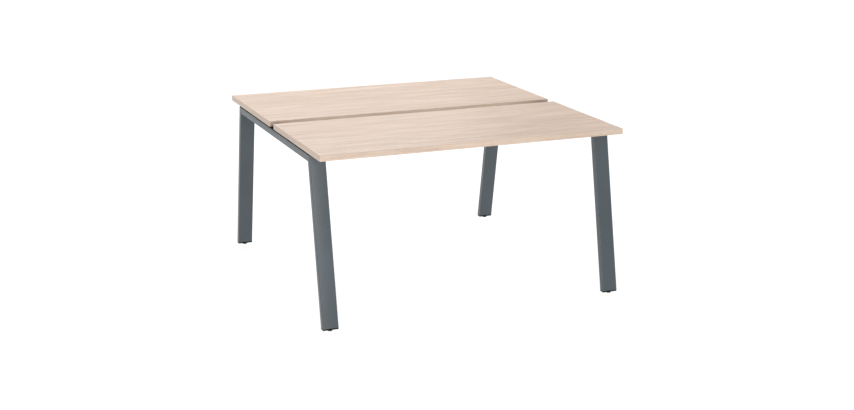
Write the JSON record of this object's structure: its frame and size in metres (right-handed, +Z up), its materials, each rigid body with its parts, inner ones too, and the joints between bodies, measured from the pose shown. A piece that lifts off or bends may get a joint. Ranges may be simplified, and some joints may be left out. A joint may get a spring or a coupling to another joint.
{
  "type": "benching desk",
  "caption": "Benching desk: facing pale oak worktops either side of a cable gap, on trapezoid frames of flat steel tube tied by beams, with levelling feet.",
  "frame": {"origin": "on the floor, under the middle of the cable gap and midway between the two leg frames", "axes": "+Z up, +X along the cable gap from the left frame to the right frame, +Y from the front user's side to the rear user's side"},
  "size_m": [1.4, 1.4, 0.76],
  "materials": {
    "worktop_laminate": "matt pale oak laminate with its grain along the desk",
    "worktop_edging": "satin pale oak edging",
    "frame_powder_coat": "fine satin anthracite powder coat",
    "black_plastic": "matt black moulded plastic",
    "spacer_rubber": "matt black rubber",
    "zinc_plated_steel": "bright zinc plating"
  },
  "bodies": {
    "desk": {"front_top_board": "worktop_laminate", "front_top_user_edging": "worktop_edging", "front_top_gap_edging": "worktop_edging", "front_top_left_edging": "worktop_edging", "front_top_right_edging": "worktop_edging", "rear_top_board": "worktop_laminate", "rear_top_user_edging": "worktop_edging", "rear_top_gap_edging": "worktop_edging", "rear_top_left_edging": "worktop_edging", "rear_top_right_edging": "worktop_edging", "left_crossbar": "frame_powder_coat", "left_front_leg": "frame_powder_coat", "left_rear_leg": "frame_powder_coat", "right_crossbar": "frame_powder_coat", "right_front_leg": "frame_powder_coat", "right_rear_leg": "frame_powder_coat", "left_spacer_strip": "spacer_rubber", "right_spacer_strip": "spacer_rubber", "front_beam": "frame_powder_coat", "rear_beam": "frame_powder_coat", "front_beam_pad": "spacer_rubber", "rear_beam_pad": "spacer_rubber", "front_beam_left_plate": "frame_powder_coat", "front_beam_right_plate": "frame_powder_coat", "rear_beam_left_plate": "frame_powder_coat", "rear_beam_right_plate": "frame_powder_coat", "front_beam_left_front_bolt": "zinc_plated_steel", "front_beam_left_rear_bolt": "zinc_plated_steel", "front_beam_right_front_bolt": "zinc_plated_steel", "front_beam_right_rear_bolt": "zinc_plated_steel", "rear_beam_left_front_bolt": "zinc_plated_steel", "rear_beam_left_rear_bolt": "zinc_plated_steel", "rear_beam_right_front_bolt": "zinc_plated_steel", "rear_beam_right_rear_bolt": "zinc_plated_steel", "front_top_left_screw_1": "zinc_plated_steel", "front_top_left_screw_2": "zinc_plated_steel", "front_top_right_screw_1": "zinc_plated_steel", "front_top_right_screw_2": "zinc_plated_steel", "front_top_middle_screw": "zinc_plated_steel", "rear_top_left_screw_1": "zinc_plated_steel", "rear_top_left_screw_2": "zinc_plated_steel", "rear_top_right_screw_1": "zinc_plated_steel", "rear_top_right_screw_2": "zinc_plated_steel", "rear_top_middle_screw": "zinc_plated_steel", "left_front_leg_cap": "black_plastic", "left_rear_leg_cap": "black_plastic", "right_front_leg_cap": "black_plastic", "right_rear_leg_cap": "black_plastic", "left_front_foot_nut": "zinc_plated_steel", "left_rear_foot_nut": "zinc_plated_steel", "right_front_foot_nut": "zinc_plated_steel", "right_rear_foot_nut": "zinc_plated_steel"},
    "left_front_pad": {"left_front_foot_pad": "black_plastic"},
    "left_front_stud": {"left_front_foot_stud": "zinc_plated_steel"},
    "left_rear_pad": {"left_rear_foot_pad": "black_plastic"},
    "left_rear_stud": {"left_rear_foot_stud": "zinc_plated_steel"},
    "right_front_pad": {"right_front_foot_pad": "black_plastic"},
    "right_front_stud": {"right_front_foot_stud": "zinc_plated_steel"},
    "right_rear_pad": {"right_rear_foot_pad": "black_plastic"},
    "right_rear_stud": {"right_rear_foot_stud": "zinc_plated_steel"}
  },
  "joints": [
    {"name": "left_front_foot_travel", "type": "slide", "parent": "desk", "child": "left_front_pad", "axis": [0, 0, -1], "range_m": [0, 0.015]},
    {"name": "left_front_stud_turn", "type": "hinge", "parent": "left_front_pad", "child": "left_front_stud", "pos_m": [-0.665, -0.68273, 0], "axis": [0, 0, -1], "range_deg": [0, 4320]},
    {"name": "left_rear_foot_travel", "type": "slide", "parent": "desk", "child": "left_rear_pad", "axis": [0, 0, -1], "range_m": [0, 0.015]},
    {"name": "left_rear_stud_turn", "type": "hinge", "parent": "left_rear_pad", "child": "left_rear_stud", "pos_m": [-0.665, 0.68273, 0], "axis": [0, 0, -1], "range_deg": [0, 4320]},
    {"name": "right_front_foot_travel", "type": "slide", "parent": "desk", "child": "right_front_pad", "axis": [0, 0, -1], "range_m": [0, 0.015]},
    {"name": "right_front_stud_turn", "type": "hinge", "parent": "right_front_pad", "child": "right_front_stud", "pos_m": [0.665, -0.68273, 0], "axis": [0, 0, -1], "range_deg": [0, 4320]},
    {"name": "right_rear_foot_travel", "type": "slide", "parent": "desk", "child": "right_rear_pad", "axis": [0, 0, -1], "range_m": [0, 0.015]},
    {"name": "right_rear_stud_turn", "type": "hinge", "parent": "right_rear_pad", "child": "right_rear_stud", "pos_m": [0.665, 0.68273, 0], "axis": [0, 0, -1], "range_deg": [0, 4320]}
  ],
  "couplings": [
    {"joint": "left_front_foot_travel", "follows": "left_front_stud_turn", "m_per_rad": 0.00019894},
    {"joint": "left_rear_foot_travel", "follows": "left_rear_stud_turn", "m_per_rad": 0.00019894},
    {"joint": "right_front_foot_travel", "follows": "right_front_stud_turn", "m_per_rad": 0.00019894},
    {"joint": "right_rear_foot_travel", "follows": "right_rear_stud_turn", "m_per_rad": 0.00019894}
  ]
}
